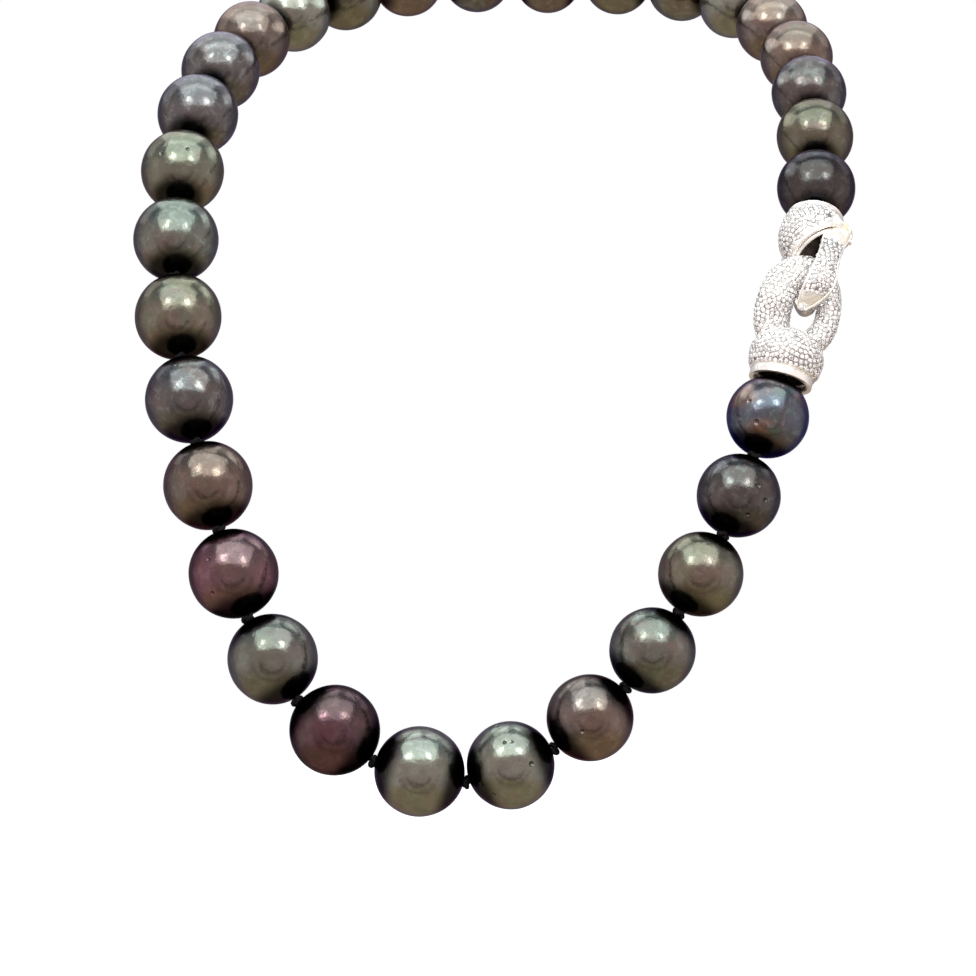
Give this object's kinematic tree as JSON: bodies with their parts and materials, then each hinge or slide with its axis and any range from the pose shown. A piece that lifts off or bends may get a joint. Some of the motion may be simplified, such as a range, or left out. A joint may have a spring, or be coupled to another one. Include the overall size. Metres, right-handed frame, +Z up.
{
  "type": "pearl necklace",
  "caption": "Graduated necklace of dark round pearls knotted on black silk, closed at the side of the front by a large diamond-set hook-and-loop clasp with a hinged gate.",
  "frame": {"origin": "where the nape pearl rests on the back of the neck", "axes": "+Z up as worn, -Y towards someone who faces the wearer, +X to that viewer's right, which is the wearer's left"},
  "size_m": [0.1216, 0.119, 0.154],
  "materials": {
    "pearl_silver": "lustrous nacre",
    "pearl_green": "lustrous nacre",
    "pearl_olive": "lustrous nacre",
    "pearl_bronze": "lustrous nacre",
    "pearl_aubergine": "lustrous nacre",
    "pearl_slate": "lustrous nacre",
    "pearl_midnight": "lustrous nacre",
    "black_silk": "twisted thread",
    "pave_white_gold": "set all over with small diamonds",
    "polished_white_gold": "polished",
    "bullion_wire": "fine coiled wire"
  },
  "bodies": {
    "nape": {"pearl_nape": "pearl_bronze", "silk_thread": "black_silk"},
    "tier_16": {"pearl_left_16": "pearl_slate", "pearl_right_16": "pearl_olive"},
    "tier_15": {"pearl_left_15": "pearl_bronze", "pearl_right_15": "pearl_green"},
    "tier_14": {"pearl_left_14": "pearl_olive", "pearl_right_14": "pearl_silver"},
    "tier_13": {"pearl_left_13": "pearl_silver", "pearl_right_13": "pearl_bronze"},
    "tier_12": {"pearl_left_12": "pearl_bronze", "pearl_right_12": "pearl_bronze"},
    "tier_11": {"pearl_left_11": "pearl_slate", "pearl_right_11": "pearl_slate"},
    "tier_10": {"pearl_left_10": "pearl_slate", "pearl_right_10": "pearl_olive"},
    "tier_09": {"pearl_left_09": "pearl_olive", "pearl_right_09": "pearl_midnight"},
    "tier_08": {"pearl_left_08": "pearl_green", "hook_casting": "pave_white_gold", "hook_collar": "polished_white_gold", "hook_cup_plate": "polished_white_gold", "hook_bullion": "bullion_wire", "gate_hinge_pin": "polished_white_gold"},
    "tier_07": {"pearl_left_07": "pearl_olive", "loop_casting": "pave_white_gold", "loop_collar": "polished_white_gold", "loop_cup_plate": "polished_white_gold", "loop_bullion": "bullion_wire"},
    "tier_06": {"pearl_left_06": "pearl_slate", "pearl_right_06": "pearl_midnight"},
    "tier_05": {"pearl_left_05": "pearl_bronze", "pearl_right_05": "pearl_slate"},
    "tier_04": {"pearl_left_04": "pearl_aubergine", "pearl_right_04": "pearl_olive"},
    "tier_03": {"pearl_left_03": "pearl_silver", "pearl_right_03": "pearl_green"},
    "tier_02": {"pearl_left_02": "pearl_aubergine", "pearl_right_02": "pearl_bronze"},
    "tier_01": {"pearl_left_01": "pearl_silver", "pearl_right_01": "pearl_silver"},
    "gate": {"gate_arm": "pave_white_gold"}
  },
  "joints": [
    {"name": "flex_16", "type": "hinge", "parent": "nape", "child": "tier_16", "pos_m": [0, 0.0062, 0], "axis": [-0.9987, 0.0457, 0.0228], "range_deg": [0, 14], "deforming": ["silk_thread"]},
    {"name": "flex_15", "type": "hinge", "parent": "tier_16", "child": "tier_15", "pos_m": [-0.00029, 0.00213, -0.0004], "axis": [-0.9987, 0.0457, 0.0228], "range_deg": [0, 14]},
    {"name": "flex_14", "type": "hinge", "parent": "tier_15", "child": "tier_14", "pos_m": [-0.0011, -0.00439, -0.00313], "axis": [-0.9979, 0.0572, 0.0294], "range_deg": [0, 14]},
    {"name": "flex_13", "type": "hinge", "parent": "tier_14", "child": "tier_13", "pos_m": [-0.00248, -0.01405, -0.00789], "axis": [-0.9975, 0.0625, 0.0326], "range_deg": [0, 14]},
    {"name": "flex_12", "type": "hinge", "parent": "tier_13", "child": "tier_12", "pos_m": [-0.00408, -0.02488, -0.01367], "axis": [-0.9974, 0.0625, 0.0351], "range_deg": [0, 14]},
    {"name": "flex_11", "type": "hinge", "parent": "tier_12", "child": "tier_11", "pos_m": [-0.00589, -0.03668, -0.02033], "axis": [-0.9976, 0.0557, 0.0418], "range_deg": [0, 14]},
    {"name": "flex_10", "type": "hinge", "parent": "tier_11", "child": "tier_10", "pos_m": [-0.00755, -0.04847, -0.02807], "axis": [-0.9979, 0.0481, 0.043], "range_deg": [0, 14]},
    {"name": "flex_09", "type": "hinge", "parent": "tier_10", "child": "tier_09", "pos_m": [-0.00891, -0.05916, -0.03769], "axis": [-0.9984, 0.043, 0.0376], "range_deg": [0, 14]},
    {"name": "flex_08", "type": "hinge", "parent": "tier_09", "child": "tier_08", "pos_m": [-0.01, -0.06903, -0.0484], "axis": [-0.9987, 0.0455, 0.0239], "range_deg": [0, 14]},
    {"name": "flex_07", "type": "hinge", "parent": "tier_08", "child": "tier_07", "pos_m": [-0.01073, -0.07664, -0.05965], "axis": [-0.9993, 0.0373, -0.0065], "range_deg": [0, 11]},
    {"name": "flex_06", "type": "hinge", "parent": "tier_07", "child": "tier_06", "pos_m": [-0.01242, -0.08283, -0.07542], "axis": [-0.999, 0.0285, 0.0358], "range_deg": [0, 11]},
    {"name": "flex_05", "type": "hinge", "parent": "tier_06", "child": "tier_05", "pos_m": [-0.01327, -0.08802, -0.08887], "axis": [-0.9994, 0.0216, 0.0259], "range_deg": [0, 14]},
    {"name": "flex_04", "type": "hinge", "parent": "tier_05", "child": "tier_04", "pos_m": [-0.01405, -0.09262, -0.10237], "axis": [-0.9997, 0.0217, 0.0111], "range_deg": [0, 14]},
    {"name": "flex_03", "type": "hinge", "parent": "tier_04", "child": "tier_03", "pos_m": [-0.01514, -0.09593, -0.11575], "axis": [-0.9998, 0.0147, -0.0118], "range_deg": [0, 14]},
    {"name": "flex_02", "type": "hinge", "parent": "tier_03", "child": "tier_02", "pos_m": [-0.01549, -0.09823, -0.12823], "axis": [-0.9992, 0.0078, -0.0386], "range_deg": [0, 14]},
    {"name": "flex_01", "type": "hinge", "parent": "tier_02", "child": "tier_01", "pos_m": [-0.01513, -0.09937, -0.13783], "axis": [-0.9977, -0.0033, -0.0679], "range_deg": [0, 14]},
    {"name": "gate_hinge", "type": "hinge", "parent": "tier_08", "child": "gate", "pos_m": [0.04711, -0.0765, -0.05338], "axis": [-0.8701, -0.0728, 0.4874], "range_deg": [0, 50]}
  ]
}
